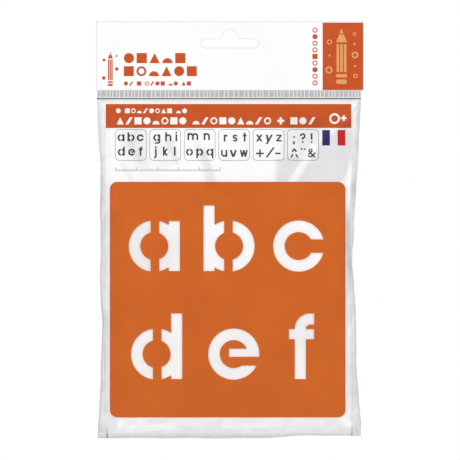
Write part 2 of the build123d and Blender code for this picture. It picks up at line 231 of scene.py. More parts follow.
# Painted shade on the insert card: soft grey spots which show inside the front letters: middle pixel, reach
# and strength
letter_shades = (
    ((150, 246), 29 * mm, 0.1),
    ((150, 352), 28 * mm, 0.055),
    ((230, 358), 24 * mm, 0.05),
    ((302, 326), 17 * mm, 0.085),
    ((290, 250), 22 * mm, 0.03),
)


def card_finish(name, low, high, dim, bright, edge_shade_share, slot=False, shades=()):
    """White coated board: faint mottling, soft spots of painted shade, a fine grain, a soft grey rim of
    painted edge shade along the cut outline, and grey fibre on the cut edges.
    """
    material, tree = new_material(name)
    rim_width = 0.6 * mm
    edge_shade_grey = (0.56, 0.56, 0.57, 1)
    shade_grey = (0.05, 0.05, 0.05, 1)
    dark_fibre = (0.6, 0.585, 0.56, 1)
    pale_fibre = (0.8, 0.79, 0.77, 1)
    grain_height = 0.012 * mm
    inside = depth_inside(tree, low, high, 0.0)
    if slot:
        inside = maths(tree, "MINIMUM", inside, depth_from_slot(tree))
    mottle = fade(tree, speckle(tree, scale=24, detail=1.5, stretch=(1, 1, 0.7)), 0.36, 0.6)
    face = mixed(tree, mottle, (dim, dim, dim, 1), (bright, bright, bright, 1))
    place = own_place(tree)
    # Painted shade: soft grey spots on the face, darkest at their middles
    for spot, reach, strength in shades:
        x, z = at_pixel(*spot)
        away = put(tree, "ShaderNodeVectorMath", {0: place, 1: (x, low.y, z)}, operation="DISTANCE")["Value"]
        face = mixed(tree, fade(tree, away, 0.4 * reach, reach, strength, 0.0), face, shade_grey)
    # Painted edge shade: a grey rim along the card's cut outline, and around the slot on the header card
    face = mixed(tree, fade(tree, inside, 0.0, rim_width, edge_shade_share, 0.0), face, edge_shade_grey)
    fibre = fade(tree, speckle(tree, scale=900, detail=4, stretch=(1, 6, 1)), 0.35, 0.65)
    edge = mixed(tree, fibre, dark_fibre, pale_fibre)
    turned = put(tree, "ShaderNodeSeparateXYZ", {0: put(tree, "ShaderNodeNewGeometry")["Normal"]})[1]
    facing = fade(tree, maths(tree, "ABSOLUTE", turned), 0.5, 0.8)
    coarse = maths(tree, "MULTIPLY", speckle(tree, scale=300, detail=2), 2.0)
    grain = maths(tree, "ADD", speckle(tree, scale=2600, detail=3), coarse)
    roughness = varied(tree, scale=600, detail=2, low=0.36, high=0.46)
    normal = bump(tree, grain, grain_height, strength=0.35)
    close_solid(tree, mixed(tree, facing, edge, face), roughness, normal, specular=0.35)
    return material


def plastic_finish(name, low, high):
    """Orange polypropylene sheet: a fine satin grain, faint rolling streaks and a darker rim of painted edge
    shade.
    """
    material, tree = new_material(name)
    rim_start, rim_width = 0.2 * mm, 0.75 * mm
    edge_shade_share = 0.9
    streak_share = 0.12
    grain_height = 0.02 * mm
    dark_orange, light_orange = linear(205, 95, 4), linear(210, 100, 10)
    streak_orange, edge_shade_orange = linear(218, 111, 22), linear(200, 74, 4)
    colour = mixed(tree, varied(tree, scale=28, detail=4), dark_orange, light_orange)
    streak = speckle(tree, scale=260, detail=3, stretch=(1, 1, 0.03))
    streak = fade(tree, streak, 0.4, 0.75, 0.0, streak_share)
    colour = mixed(tree, streak, colour, streak_orange)
    # Painted edge shade: a darker rim just inside the sheet's rounded outline
    rim = fade(tree, depth_inside(tree, low, high, sheet_corner), rim_start, rim_width, edge_shade_share, 0.0)
    colour = mixed(tree, rim, colour, edge_shade_orange)
    coarse = maths(tree, "MULTIPLY", speckle(tree, scale=900, detail=2), 1.5)
    grain = maths(tree, "ADD", speckle(tree, scale=3800, detail=2), coarse)
    roughness = varied(tree, scale=500, detail=3, low=0.4, high=0.52)
    normal = bump(tree, grain, grain_height, strength=0.5)
    close_solid(tree, colour, roughness, normal, specular=0.3)
    return material


def ink_finish(name, colour):
    """Offset ink on coated board: a fine dot screen and slightly uneven gloss."""
    material, tree = new_material(name)
    screen_scale = 3600
    blotch_share = 0.35
    grain_height = 0.01 * mm
    sockets = {"Vector": own_place(tree), "Scale": screen_scale}
    screen = put(tree, "ShaderNodeTexVoronoi", sockets)["Distance"]
    paler = tuple(min(1, part * 1.08 + 0.012) for part in colour[:3])
    darker = tuple(part * 0.93 for part in colour[:3])
    shade = mixed(tree, fade(tree, screen, 0.2, 0.7), (*darker, 1), (*paler, 1))
    blotches = fade(tree, speckle(tree, scale=90, detail=3), 0.35, 0.65, 0.0, blotch_share)
    shade = mixed(tree, blotches, shade, (*darker, 1))
    roughness = varied(tree, scale=700, detail=2, low=0.3, high=0.42)
    normal = bump(tree, speckle(tree, scale=2600, detail=2), grain_height, strength=0.3)
    close_solid(tree, shade, roughness, normal, specular=0.2)
    return material


def film_finish(name, clear, grey, gloss, roughness, milk=0.0):
    """Clear film: its film_shade attribute of painted shade and painted reflection greys what shows through,
    and it turns glossy at a grazing angle.
    """
    material, tree = new_material(name)
    shine_colour = (0.97, 0.98, 1.0, 1)
    milk_colour = (0.9, 0.9, 0.91, 1)
    cloud_strength = 0.015
    grazing_gloss = 0.75
    grain_height = 0.006 * mm
    shade = put(tree, "ShaderNodeAttribute", attribute_name="film_shade")["Fac"]
    cloud = fade(tree, speckle(tree, scale=120, detail=4), 0.35, 0.65, -cloud_strength, cloud_strength)
    shade = put(tree, "ShaderNodeMath", {0: shade, 1: cloud}, operation="ADD", use_clamp=True)[0]
    through = put(tree, "ShaderNodeBsdfTransparent", {"Color": mixed(tree, shade, clear, grey)})[0]
    normal = bump(tree, speckle(tree, scale=700, detail=3), grain_height, strength=0.6)
    sockets = {"Color": shine_colour, "Roughness": roughness, "Normal": normal}
    shine = put(tree, "ShaderNodeBsdfAnisotropic", sockets)[0]
    facing = put(tree, "ShaderNodeLayerWeight", {"Blend": 0.5, "Normal": normal})["Facing"]
    grazing = maths(tree, "MULTIPLY", maths(tree, "POWER", facing, 3.0), grazing_gloss)
    amount = maths(tree, "ADD", grazing, gloss)
    surface = put(tree, "ShaderNodeMixShader", {0: amount, 1: through, 2: shine})[0]
    if milk:
        white = put(tree, "ShaderNodeBsdfDiffuse", {"Color": milk_colour, "Normal": normal})[0]
        surface = put(tree, "ShaderNodeMixShader", {0: milk, 1: surface, 2: white})[0]
    close(tree, surface)
    return material


def floor_finish():
    """A plain pale floor with faint clouds."""
    material, tree = new_material("pale_floor")
    dim, bright = (0.8, 0.8, 0.8, 1), (0.84, 0.84, 0.84, 1)
    colour = mixed(tree, varied(tree, scale=3, detail=4), dim, bright)
    roughness = varied(tree, scale=30, detail=2, low=0.55, high=0.7)
    close(tree, put(tree, "ShaderNodeBsdfPrincipled", {"Base Color": colour, "Roughness": roughness})[0])
    return material


def dress(name, material):
    """Gives a CAD node its finish, through its own material slots."""
    node = nodes[name]
    if not node.material_slots:
        node.data.materials.append(material)
    for slot in node.material_slots:
        slot.material = material


# Meshes
def piece(name, mesh, material):
    """A shown object made of a mesh."""
    made = bpy.data.objects.new(name, mesh)
    bpy.context.scene.collection.objects.link(made)
    made.data.materials.append(material)
    return made


def grid_mesh(name, x, y, z, shade, closed=False):
    """A smooth sheet through a grid of places, with its shade. Closed joins its last row to its first."""
    rows, columns = x.shape
    starts = np.arange(rows if closed else rows - 1)
    steps = np.arange(columns - 1)
    first = (starts[:, None] * columns + steps).ravel()
    above = (((starts + 1) % rows)[:, None] * columns + steps).ravel()
    faces = np.stack([first, first + 1, above + 1, above], 1)
    mesh = bpy.data.meshes.new(name)
    mesh.from_pydata(np.stack([x.ravel(), y.ravel(), z.ravel()], 1).tolist(), [], faces.tolist())
    mesh.shade_smooth()
    attribute = mesh.attributes.new("film_shade", "FLOAT", "POINT")
    attribute.data.foreach_set("value", shade.astype(np.float32).ravel())
    return mesh


def node_spots(name):
    """The corner places of a CAD node's mesh."""
    return np.array([vertex.co for vertex in nodes[name].data.vertices])


def outline(spots, axis, side):
    """How far points reach along an axis at each of their heights, from the lowest height up."""
    heights = np.round(spots[:, 2], 6)
    levels = np.unique(heights)
    return levels, np.array([side * (side * spots[heights == level, axis]).max() for level in levels])


front_spots = node_spots("bag_front_panel")
left_line = outline(front_spots[front_spots[:, 0] < 0], 0, -1)
right_line = outline(front_spots[front_spots[:, 0] > 0], 0, 1)

# Waves of the bag's edges, inwards: length and phase of a long and a short one, and a steady part
left_wave = (7.3 * mm, 0, 3.1 * mm, 1, 1)
right_wave = (8.1 * mm, 2, 3.7 * mm, 0, -1.4)
# Where the bag's right edge swells out or is pinched in: pixel row, reach and depth
right_bulges = (
    (168, 24 * mm, 0.5 * mm),
    (258, 11 * mm, -1.5 * mm),
)


def softened(place, line, reach):
    """A line's value at a place, averaged over a reach so that the film's edge bends softly."""
    shares = np.linspace(-1, 1, 9)
    return np.mean([np.interp(place + share * reach, *line) for share in shares], axis=0)


def edge_wave(height, long, long_phase, short, short_phase, steady):
    """A film edge's wave: a long one, a short one of half its depth, and a steady part."""
    return np.sin(height / long + long_phase) + np.sin(height / short + short_phase) / 2 + steady


def bag_edges(height):
    """The bag's left and right edge at a height, with the small waves of loose film."""
    soft_reach = 6 * mm
    wave_depth = 0.22 * mm
    least_margin = 0.6 * mm
    reach = np.minimum(soft_reach, np.minimum(crease - height, height - weld_high.z).clip(0))
    wave = wave_depth * smooth(reach / soft_reach)
    left = softened(height, left_line, reach) + wave * edge_wave(height, *left_wave)
    right = softened(height, right_line, reach) - wave * edge_wave(height, *right_wave)
    for row, bulge_reach, depth in right_bulges:
        right += depth * bell(height - at_pixel(0, row)[1], bulge_reach)
    return left, np.maximum(right, insert_high.x + least_margin)


def outside_sheets(x, z, travel=sheet_travel):
    """How far a point lies outside the sheets' outline, with the way that they slide up."""
    half_x = (sheet_high.x - sheet_low.x) / 2 - sheet_corner
    top = sheet_high.z + travel
    half_z = (top - sheet_low.z) / 2 - sheet_corner
    across = np.abs(x - (sheet_low.x + sheet_high.x) / 2) - half_x
    along = np.abs(z - (top + sheet_low.z) / 2) - half_z
    return np.hypot(across.clip(0), along.clip(0)) - sheet_corner


def noise_field(x, z, size, turn, stretch, seed):
    """Soft noise from about -1 to 1 whose patches have a size, a turn in degrees and a stretch along it."""
    gain = 1.6
    cosine, sine = math.cos(math.radians(turn)), math.sin(math.radians(turn))
    along = (x * cosine + z * sine) / (size * stretch)
    across = (z * cosine - x * sine) / size
    values = [noise.noise((a, b, seed)) for a, b in zip(along.ravel(), across.ravel())]
    return np.array(values).reshape(x.shape) * gain


def from_line(x, z, start, end):
    """How far places lie along a line between two pixels, as a share of it, and how far to its left."""
    start_x, start_z = at_pixel(*start)
    end_x, end_z = at_pixel(*end)
    length = math.hypot(end_x - start_x, end_z - start_z)
    way_x, way_z = (end_x - start_x) / length, (end_z - start_z) / length
    along = ((x - start_x) * way_x + (z - start_z) * way_z) / length
    left = (z - start_z) * way_x - (x - start_x) * way_z
    return along, left


def fold(x, z, start, end, width, height):
    """A sharp fold of film along a line between two pixels, wide on its left and steep on its right."""
    steep_share = 0.35
    end_share = 0.25
    along, left = from_line(x, z, start, end)
    flank = np.where(left > 0, left / width, -left / (width * steep_share))
    return height * smooth(1 - flank) * smooth(along / end_share) * smooth((1 - along) / end_share)


def patch(x, z, corners, softness):
    """A patch of film between corner pixels, which fades over a soft edge: from 0 outside to 1 inside."""
    inside = np.full(x.shape, math.inf)
    for start, end in zip(corners, corners[1:] + corners[:1]):
        _, left = from_line(x, z, start, end)
        inside = np.minimum(inside, -left)
    return smooth(inside / softness + 0.5)


# Folds that the photograph shows in the front film: start and end pixel, width and height
front_folds = (
    ((361, 101), (349, 113), 2.6 * mm, 0.9 * mm),
    ((97, 103), (108, 118), 2.2 * mm, 0.5 * mm),
    ((356, 118), (351, 205), 2.0 * mm, 0.5 * mm),
    ((350, 196), (346, 262), 2.2 * mm, 0.8 * mm),
    ((349, 252), (355, 300), 2.4 * mm, 0.8 * mm),
    ((99, 190), (106, 300), 2.0 * mm, 0.4 * mm),
    ((103, 300), (107, 400), 2.0 * mm, 0.5 * mm),
    ((352, 300), (354, 420), 2.4 * mm, 0.5 * mm),
    ((125, 416), (116, 434), 2.4 * mm, 0.6 * mm),
    ((345, 418), (357, 432), 2.4 * mm, 0.7 * mm),
    ((150, 424), (235, 430), 1.6 * mm, 0.35 * mm),
    ((238, 429), (330, 424), 1.8 * mm, 0.35 * mm),
    ((118, 168), (142, 184), 3.5 * mm, 0.3 * mm),
    ((186, 140), (214, 182), 6.0 * mm, 0.35 * mm),
    ((330, 136), (284, 180), 6.0 * mm, 0.4 * mm),
)
# Guessed folds in the back film, which the photograph doesn't show: start and end pixel, width and height
back_folds = (
    ((352, 101), (300, 150), 4.0 * mm, 0.8 * mm),
    ((100, 103), (150, 160), 4.0 * mm, 0.7 * mm),
    ((349, 252), (355, 330), 3.0 * mm, 0.8 * mm),
    ((101, 280), (108, 400), 3.0 * mm, 0.6 * mm),
    ((130, 400), (112, 434), 3.0 * mm, 0.6 * mm),
    ((330, 402), (350, 433), 3.0 * mm, 0.6 * mm),
)
# Broad streaks in the front film, painted reflections in grey and painted highlights where the strength is
# below zero, which clears it: start and end pixel, width and strength
front_reflection_streaks = (
    ((192, 128), (200, 164), 4.0 * mm, 0.05),
    ((196, 140), (216, 190), 5.0 * mm, 0.04),
    ((163, 134), (180, 170), 5.0 * mm, 0.1),
    ((124, 136), (146, 172), 9.0 * mm, 0.08),
    ((118, 160), (138, 192), 4.0 * mm, 0.1),
    ((138, 122), (128, 150), 5.0 * mm, 0.07),
    ((284, 122), (281, 160), 4.0 * mm, 0.07),
    ((346, 205), (349, 290), 3.6 * mm, 0.2),
    ((351.6, 228), (360.6, 88), 2.6 * mm, 0.17),
    ((99.6, 100), (102.0, 225), 2.4 * mm, 0.12),
    ((118, 434), (127, 412), 3.2 * mm, -0.25),
    ((120, 432), (180, 427), 4.4 * mm, -0.25),
    ((214, 429), (280, 426), 2.6 * mm, -0.05),
    ((334, 414), (353, 429), 4.0 * mm, -0.25),
    ((346, 110), (362, 97), 2.6 * mm, -0.3),
    ((354, 108), (352, 160), 2.4 * mm, -0.1),
    ((350, 150), (347, 215), 2.6 * mm, -0.12),
    ((112, 102), (150, 104), 2.0 * mm, -0.14),
    ((222, 104), (352, 101), 2.0 * mm, -0.1),
    ((357, 306), (348, 340), 3.0 * mm, -0.12),
)
# Soft grey patches of painted reflection in the front film: corner pixels in the order of a clock's hand,
# softness and strength
front_reflection_patches = (
    (((284, 118), (330, 118), (300, 160), (284, 160)), 3.0 * mm, 0.09),
    (((321, 142), (353, 118), (354, 158), (343, 180), (331, 192), (290, 192)), 1.4 * mm, 0.14),
    (((276, 158), (303, 158), (286, 184), (276, 192)), 1.4 * mm, 0.15),
    (((184, 128), (196, 128), (208, 164), (196, 150)), 1.6 * mm, 0.045),
    (((120, 128), (148, 128), (150, 150), (136, 168), (122, 156)), 4.0 * mm, 0.05),
    (((150, 138), (176, 138), (178, 166), (158, 168)), 4.0 * mm, 0.05),
    (((197, 148), (206, 148), (219, 192), (207, 186)), 1.4 * mm, 0.1),
)
# The dark lines at the bottom corners, where the sides' folds are pressed into the weld
tick_places = (insert_low.x + 0.9 * mm, insert_high.x + 0.3 * mm)
tick_width = 0.3 * mm

# The bag's two faces: depths over the sheets, where they are loose and at the edges, the width in which they
# drape off the sheets, the margin that stays at full depth, their folds, seeds for their noise, and the
# share of painted edge shade that they take
back_full = last_high.y + film_clearance
front_face = SimpleNamespace(
    name="film_front",
    node="bag_front_panel",
    side=-1,
    depth_line=outline(front_spots, 1, -1),
    full=film_clearance - sheet_low.y,
    rest=front_rest,
    edge=front_edge,
    drape=1.2 * mm,
    cover_margin=0.0,
    folds=front_folds,
    relief_seed=11.0,
    shade_seed=19.0,
    edge_share=1.0,
)
back_face = SimpleNamespace(
    name="film_back",
    node="bag_back_panel",
    side=1,
    depth_line=outline(node_spots("bag_back_panel"), 1, 1),
    full=back_full,
    rest=back_full * back_rest_share,
    edge=back_edge,
    drape=1.8 * mm,
    cover_margin=0.8 * mm,
    folds=back_folds,
    relief_seed=47.0,
    shade_seed=67.0,
    edge_share=0.4,
)


def film_relief(x, z, edge_distance, face):
    """How far loose film stands out from its pulled-flat shape, never less than nothing."""
    slack = smooth(outside_sheets(x, z) / (5 * mm))
    gather = np.exp(-(crease - z) / (5 * mm))
    # Ripples: where they show, height, size, turn in degrees, stretch and what is added to the face's seed
    ripples = (
        (1, 0.16 * mm, 34 * mm, 52, 1.8, 0),
        (slack, 0.2 * mm, 8 * mm, 86, 5.0, 3),
        (slack, 0.02 * mm, 2.4 * mm, 88, 5.0, 5),
        (gather, 0.25 * mm, 2.2 * mm, 90, 6.0, 7),
    )
    relief = np.zeros_like(x)
    for share, height, size, turn, stretch, offset in ripples:
        relief += height * share * (noise_field(x, z, size, turn, stretch, face.relief_seed + offset) + 1)
    for start, end, width, height in face.folds:
        relief += fold(x, z, start, end, width, height)
    at_edge = smooth(edge_distance / (1.2 * mm))
    at_crease = smooth((crease - z) / (3 * mm))
    at_weld = smooth((z - weld_high.z) / (7 * mm))
    return relief * at_edge * at_crease * at_weld


def tick_marks(x):
    """The two dark lines at the bottom corners: 1 on a line and nothing beside it."""
    return sum(bell(x - tick, tick_width) for tick in tick_places)


def film_shade(x, z, edge_distance, slope, face):
    """How much painted shade and painted reflection the film lays over what lies behind it, from nothing to
    1 and a little over.
    """
    edge_grey = 0.14 * face.edge_share
    crease_grey = 1.1
    below_crease_grey = 0.03
    margin_grey = 0.05
    above_weld_grey = 0.06
    slope_grey = 0.1
    reflection_grey = 0.05
    away = outside_sheets(x, z, 0)
    beside = smooth((away - 0.5 * mm) / (0.9 * mm)) * smooth((sheet_high.z + 4 * mm - z) / (8 * mm))
    # Soft patches of painted reflection beside the sheets
    blotches = noise_field(x, z, 15 * mm, 70, 2.4, face.shade_seed)
    blotches += 0.35 * noise_field(x, z, 6 * mm, 60, 2.6, face.shade_seed + 2)
    # Painted shade at the bag's edges and in the crease, a painted grey gradient below the crease and above
    # the weld, painted shade where the film slopes, and painted shade with its patches beside the sheets,
    # which leaves a pale line next to their edges
    shade = edge_grey * (bell(edge_distance, 0.42 * mm) + np.exp(-edge_distance / (4 * mm)))
    shade += crease_grey * bell(z - crease - 0.1 * mm, 0.33 * mm)
    shade += below_crease_grey * np.exp(-(crease - z).clip(0) / (1.3 * mm))
    shade += above_weld_grey * np.exp(-(z - weld_high.z).clip(0) / (3 * mm))
    shade += slope_grey * smooth((slope - 0.06) / 0.5) * smooth(away / (2 * mm))
    shade += (margin_grey + reflection_grey * smooth((blotches - 0.05) / 0.3)) * beside
    return shade


def front_reflections_and_ticks(x, z):
    """The front film's painted reflections beside the sheets, as grey streaks and patches with painted
    highlights where a streak clears it, and its dark lines below the card.
    """
    rim = 0.3 * mm
    tick_grey = 0.5
    below_card = smooth((insert_low.z + 0.8 * mm - z) / mm)
    off_sheet = smooth((outside_sheets(x, z, 0) + rim) / (2 * rim))
    marks = tick_grey * tick_marks(x) * below_card
    for start, end, width, strength in front_reflection_streaks:
        marks += fold(x, z, start, end, width, strength) * off_sheet
    for corners, softness, strength in front_reflection_patches:
        marks += patch(x, z, corners, softness) * strength * off_sheet
    return marks


def film_shape(face, columns, heights):
    """Places of a face of the bag, and its shade."""
    edge_taper = 4 * mm
    crease_taper = 5 * mm
    depth_room = 0.07 * mm
    full_relief_depth = 0.3 * mm
    z = np.repeat(heights[:, None], len(columns), 1)
    left, right = bag_edges(z)
    x = left + (right - left) * columns
    edge_distance = np.minimum(x - left, right - x)
    cover = np.exp(-(outside_sheets(x, z) - face.cover_margin).clip(0) / face.drape)
    loose = face.edge + (face.rest - face.edge) * smooth(edge_distance / edge_taper)
    limit = np.abs(np.interp(z, *face.depth_line)) + depth_room * smooth((crease - z) / crease_taper)
    depth = np.minimum(loose + (face.full - loose) * cover, limit)
    y = depth + film_relief(x, z, edge_distance, face) * np.minimum(1, depth / full_relief_depth)
    slope_x = np.gradient(y, axis=1) / np.gradient(x, axis=1)
    slope_z = np.gradient(y, axis=0) / np.gradient(z, axis=0)
    shade = film_shade(x, z, edge_distance, np.hypot(slope_x, slope_z), face)
    if face is front_face:
        shade += front_reflections_and_ticks(x, z)
    return x, face.side * y, z, shade


def spread(low, high, step, fine_step=0.0, fine_reach=0.0, fine_places=()):
    """Grid lines between two values, closer together near some places."""
    lines = [low]
    while lines[-1] < high:
        near = any(abs(lines[-1] - place) < fine_reach for place in fine_places)
        lines.append(lines[-1] + (fine_step if near else step))
    lines[-1] = high
    return np.array(lines)


def make_bag(film):
    """The bag's two faces, from the weld up past the crease to the crimp."""
    width = panel_high.x - panel_low.x
    low_end = sheet_low.z + 3 * mm
    column_step, edge_step, edge_reach = 1.1 * mm, 0.4 * mm, 13 * mm
    row_step, low_step, crease_step, crease_reach = 0.95 * mm, 0.4 * mm, 0.1 * mm, 1.2 * mm
    columns = spread(0, 1, column_step / width, edge_step / width, edge_reach / width, (0, 1))
    low_heights = spread(weld_high.z, low_end, low_step)
    high_heights = spread(low_end, crimp_low.z, row_step, crease_step, crease_reach, (crease,))
    heights = np.append(low_heights[:-1], high_heights)
    grids = []
    for face in (front_face, back_face):
        x, y, z, shade = film_shape(face, columns, heights)
        made = piece(face.name, grid_mesh(face.name, x, y, z, shade.clip(0, 1)), film)
        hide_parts(face.node)
        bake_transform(made)
        grids.append((x, y, z))
    return grids


def make_side(name, node, column, fold_x, grids, film):
    """A folded-in side: two leaves from the faces' edges to a fold beside the insert card."""
    crease_gap = 1.5 * mm
    crease_taper = 9 * mm
    ripple_height = 0.12 * mm
    # From the front edge in to the fold and out to the back edge: shares of the reach and of half the depth
    across_shares = np.array([0, 0.06, 0.3, 0.6, 0.9, 1.0, 0.9, 0.6, 0.3, 0.06, 0])
    depth_shares = np.array([0, 0.06, 0.28, 0.56, 0.88, 1.0, 1.12, 1.44, 1.72, 1.94, 2.0])
    (front_x, front_y, front_z), (_, back_y, _) = grids
    keep = front_z[:, 0] < crease - crease_gap
    lines = (front_x, front_y, back_y, front_z)
    edge_x, front, back, height = (values[keep][:, column] for values in lines)
    middle = (front + back) / 2
    reach = (fold_x - edge_x) * smooth((crease - height) / crease_taper)
    x = edge_x[:, None] + reach[:, None] * across_shares
    y = front[:, None] + (middle - front)[:, None] * depth_shares
    z = np.repeat(height[:, None], len(across_shares), 1)
    ripple = noise_field(x, z, 5 * mm, 90, 2.5, 5.0 + column) * ripple_height
    x = x + ripple * (across_shares * (1 - across_shares) * 4)
    # Painted shade: faint grey over both leaves, darker along the fold and the faces' edges
    shade = 0.02 + 0.02 * noise_field(x, z, 9 * mm, 85, 3.0, 23.0)
    shade += 0.03 * (across_shares > 0.95) + 0.03 * (across_shares < 0.03)
    made = piece(name, grid_mesh(name, x, y, z, shade.clip(0, 1)), film)
    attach(made, "bag")
    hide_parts(node)


def tube_rows(front_y, back_y, *same):
    """Rows that run down the front and up the back, for a closed thin strip."""
    return [np.concatenate([front_y, back_y[::-1]])] + [np.concatenate([rows, rows[::-1]]) for rows in same]


def crimp_columns():
    """The crimp's columns from left to right, and how far each stands out and how dark its painted shade is.
    """
    rib_widths = (1.7, 2.1, 2.4, 2.8, 3.2, 3.6)
    widest_line, line_share = 0.45 * mm, 0.25
    chance = random.Random(4)
    edges = [crimp_low.x]
    rib_shades = []
    while edges[-1] < crimp_high.x:
        edges.append(edges[-1] + chance.choice(rib_widths) * mm)
        rib_shades.append(chance.uniform(0.7, 0.8))
    edges[-1] = crimp_high.x
    columns = []
    for left, right, dark in zip(edges, edges[1:], rib_shades):
        line = min(widest_line, (right - left) * line_share)
        # A pale raised line with a painted highlight and the dark strip beside it with painted shade: place,
        # how far it stands out and tone
        columns += [
            (left, 1, 0.1),
            (left + 0.8 * line, 0.9, 0.15),
            (left + 1.2 * line, 0.25, dark),
            (right - 0.3 * line, 0.15, dark * 0.9),
        ]
    return np.array(columns).T


def make_crimp(film):
    """The pressed strip under the header card: upright ribs of uneven width between pale lines, with painted
    shade in the strips and painted highlights on the lines.
    """
    half_thickness = 0.15 * mm
    rib_height = 0.05 * mm
    wobble_height = 0.015 * mm
    columns, relief, tone = crimp_columns()
    seal_top = header_low.z - 0.3 * mm
    low_heights = crimp_low.z + np.array([0, 0.35, 0.8, 2.4]) * mm
    top_heights = seal_top + np.array([-0.5, 0, 0.6]) * mm
    heights = np.concatenate([low_heights, top_heights, [crimp_high.z]])
    # How far the ribs stand out and how dark their painted shade is at each height, from the crease up
    relief_shares = np.array([0.15, 0.5, 1, 1, 1, 0.5, 0, 0])[:, None]
    tone_shares = np.array([0.25, 0.6, 1, 1, 0.95, 0.75, 0.35, 0.3])[:, None]
    x = np.repeat(columns[None, :], len(heights), 0)
    z = np.repeat(heights[:, None], len(columns), 1)
    wobble = noise_field(x, z, 2.5 * mm, 90, 3.0, 31.0) * wobble_height
    front = half_thickness + (relief * rib_height + wobble) * relief_shares
    back = half_thickness + ((1 - relief) * rib_height + wobble) * relief_shares
    y, x, z, shade = tube_rows(-front, back, x, z, tone * tone_shares)
    mesh = grid_mesh("crimp_ribs", x, y, z, shade, closed=True)
    made = piece("crimp_ribs", mesh, film)
    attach(made, "header")
    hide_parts("top_crimp")


def make_weld(film):
    """The melted strip along the bottom: a grey hem, uneven below, with the sides' folds pressed in."""
    half_thickness = 0.14 * mm
    wave_height = 0.12 * mm
    wobble_depth = 0.12 * mm
    tick_grey = 0.7
    spots = node_spots("bottom_weld")
    low_spots = spots[spots[:, 2] < weld_high.z - 0.5 * mm]
    hem = low_spots[np.argsort(low_spots[:, 0])]
    fine_places = (weld_low.x, weld_high.x, *tick_places)
    columns = spread(weld_low.x, weld_high.x, 0.8 * mm, 0.2 * mm, 1.2 * mm, fine_places)
    lower = softened(columns, (hem[:, 0], hem[:, 2]), 7 * mm)
    lower += wave_height * (np.sin(columns / (5.2 * mm)) + 1)
    down_shares = np.linspace(0, 1, 9)[:, None]
    z = weld_high.z + (lower - weld_high.z) * down_shares
    x = np.repeat(columns[None, :], len(down_shares), 0)
    wobble = noise_field(x, z, 6 * mm, 0, 3.0, 3.0) * wobble_depth * down_shares
    shade = 0.13 + 0.2 * down_shares + 0.015 * noise_field(x, z, 9 * mm, 5, 3.0, 8.0)
    shade += tick_grey * tick_marks(x)
    edge_distance = np.minimum(x - weld_low.x, weld_high.x - x)
    shade += 0.15 * bell(edge_distance, 0.5 * mm)
    y, x, z, shade = tube_rows(wobble - half_thickness, wobble + half_thickness, x, z, shade)
    made = piece("film_weld", grid_mesh("film_weld", x, y, z, shade.clip(0, 1)), film)
    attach(made, "bag")
    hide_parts("bottom_weld")


# Printed shapes: closed outlines in the photograph's pixels, filled where they nest an odd number of times
def box_shape(left, top, right, bottom):
    """A rectangle."""
    return [[(left, top), (right, top), (right, bottom), (left, bottom)]]


def round_shape(x, y, radius, sides=40, start=0.0, turn=360.0):
    """A disc, or the part of one that an arc closes off."""
    angles = [math.radians(start + turn * step / sides) for step in range(sides + (turn < 360))]
    return [[(x + radius * math.cos(a), y - radius * math.sin(a)) for a in angles]]


def ring_shape(x, y, radius, width):
    """A ring of a width, inside its radius."""
    return round_shape(x, y, radius) + round_shape(x, y, radius - width)


def rounded_shape(left, top, right, bottom, radius):
    """A rectangle with round corners."""
    points = []
    for x, y, start in (
        (right - radius, top + radius, 0),
        (left + radius, top + radius, 90),
        (left + radius, bottom - radius, 180),
        (right - radius, bottom - radius, 270),
    ):
        points += round_shape(x, y, radius, 8, start, 90)[0]
    return [points]


def plus_shape(left, top, right, bottom):
    """A plus whose arms are about a third of its width."""
    middle, level = (left + right) / 2, (top + bottom) / 2
    arm = (right - left) * 0.16
    return [[
        (middle - arm, top), (middle + arm, top), (middle + arm, level - arm), (right, level - arm),
        (right, level + arm), (middle + arm, level + arm), (middle + arm, bottom), (middle - arm, bottom),
        (middle - arm, level + arm), (left, level + arm), (left, level - arm), (middle - arm, level - arm),
    ]]


def mark_shape(left, top, size, kind):
    """A small mark in a square place: a triangle, half disc, leaning bar, disc, ring, plus or square."""
    half = size / 2
    middle, level = left + half, top + half
    right, bottom = left + size, top + size
    if kind == "triangle":
        return [[(left, bottom), (right, bottom), (middle, top)]]
    if kind == "half":
        return round_shape(middle, bottom, half, 20, 0, 180)
    if kind == "bar":
        foot = size * 0.4
        return [[(left, bottom), (left + foot, bottom), (right, top), (right - foot, top)]]
    if kind == "disc":
        return round_shape(middle, level, half)
    if kind == "ring":
        return ring_shape(middle, level, half, width=half * 0.42)
    if kind == "plus":
        return plus_shape(left, top, right, bottom)
    return box_shape(left, top, right, bottom)


def mark_row(left, top, size, kinds):
    """A line of small marks of one size, given by their kinds from the left, with gaps between groups."""
    pitch_share = 1.26
    gap_share = 0.6
    loops = []
    for kind in kinds.split():
        if kind == "gap":
            left += size * gap_share
        else:
            loops += mark_shape(left, top, size, kind)
            left += size * pitch_share
    return loops


def pencil_shape(x, tip, foot, width):
    """An upright pencil: point, bare wood, body with two lines, collar and rubber."""
    half = width / 2
    cone = width * 1.25
    lead = cone * 0.36
    line = width * 0.09
    collar = foot - width * 0.9
    collar_foot = collar + width * 0.3
    loops = [[(x - half * 0.36, tip + lead), (x, tip), (x + half * 0.36, tip + lead)]]
    loops += [[
        (x - half * 0.44, tip + lead + line), (x + half * 0.44, tip + lead + line),
        (x + half, tip + cone), (x - half, tip + cone),
    ]]
    for step in (-1, 0, 1):
        middle = x + step * width / 3
        reach = width / 6 - line / 2
        loops += box_shape(middle - reach, tip + cone + 2 * line, middle + reach, collar - 2 * line)
    loops += box_shape(x - half, collar, x + half, collar_foot)
    loops += rounded_shape(x - half, collar_foot + 2 * line, x + half, foot, width * 0.2)
    return loops


